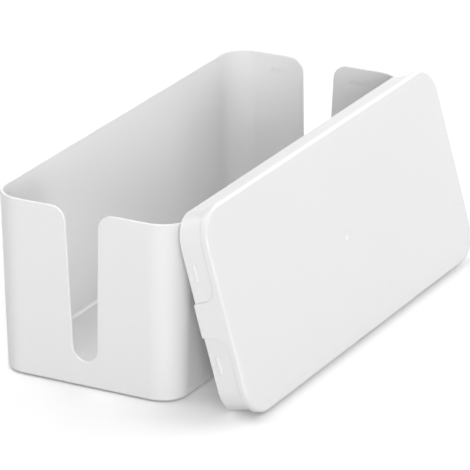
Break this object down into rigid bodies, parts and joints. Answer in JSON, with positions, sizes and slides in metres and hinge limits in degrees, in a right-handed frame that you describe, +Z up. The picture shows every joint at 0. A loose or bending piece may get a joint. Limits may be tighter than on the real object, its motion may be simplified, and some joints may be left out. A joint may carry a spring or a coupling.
{
  "type": "cable management box",
  "caption": "Open drafted box that hides a power strip and its leads, with a cable slot in each end wall and a dished lid that stands beside it and leans on its rim.",
  "frame": {"origin": "on the surface the box stands on, straight below the centre of the tub's flat underside, which is the feet's stand-out higher", "axes": "+X along the box's length, +Y across it, away from the side on which the lid stands, +Z up"},
  "size_m": [0.3847, 0.2205, 0.1551],
  "materials": {
    "tub_plastic": "white moulded plastic, fine satin spark texture",
    "lid_plastic": "white moulded plastic, fine satin spark texture, a little smoother on top",
    "foot_rubber": "grey soft rubber, matt"
  },
  "bodies": {
    "box": {"tub": "tub_plastic", "foot_front_left": "foot_rubber", "foot_front_right": "foot_rubber", "foot_back_right": "foot_rubber", "foot_back_left": "foot_rubber"},
    "lid": {"lid": "lid_plastic"}
  },
  "joints": [
    {"name": "lid_lift", "type": "slide", "parent": "box", "child": "lid", "axis": [0, 0, 1], "range_m": [0, 0.16]}
  ]
}
